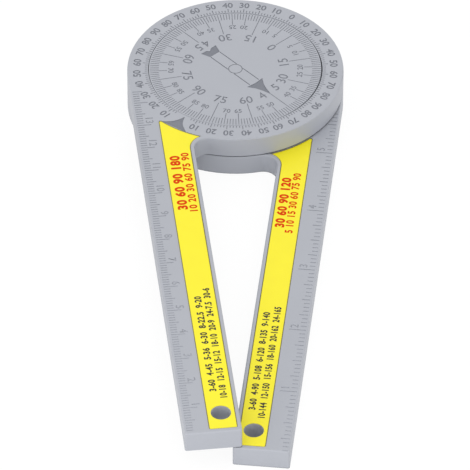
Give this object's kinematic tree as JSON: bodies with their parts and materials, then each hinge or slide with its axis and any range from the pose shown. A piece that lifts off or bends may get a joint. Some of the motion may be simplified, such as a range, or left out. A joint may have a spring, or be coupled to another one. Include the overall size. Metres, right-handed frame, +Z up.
{
  "type": "angle finder",
  "caption": "Mitre protractor with two stacked straight arms on one pivot, a ring scale, a flush dial, two rulers and hanging holes.",
  "frame": {"origin": "on the pivot axis, in the plane of the underside", "axes": "+Z up along the pivot axis, -Y along the base arm from the pivot to its free end, +X towards the base arm's outer, graduated edge"},
  "size_m": [0.0636, 0.1874, 0.0132],
  "materials": {
    "abs_grey": "fine moulded satin ABS",
    "label_yellow": "printed vinyl film",
    "nylon_white": "smooth moulded nylon",
    "spring_steel": "rolled spring steel",
    "zinc_steel": "zinc-plated steel"
  },
  "bodies": {
    "base": {"base_arm": "abs_grey", "dial_disc": "abs_grey", "base_label": "label_yellow", "glide_washer": "nylon_white", "dial_screw_1": "zinc_steel", "dial_screw_2": "zinc_steel", "dial_screw_3": "zinc_steel", "dial_screw_4": "zinc_steel"},
    "ring": {"ring_arm": "abs_grey", "ring_label": "label_yellow", "wave_washer": "spring_steel"}
  },
  "joints": [
    {"name": "arm_pivot", "type": "hinge", "parent": "base", "child": "ring", "pos_m": [0, 0, 0.0068], "axis": [0, 0, 1], "continuous": true}
  ]
}
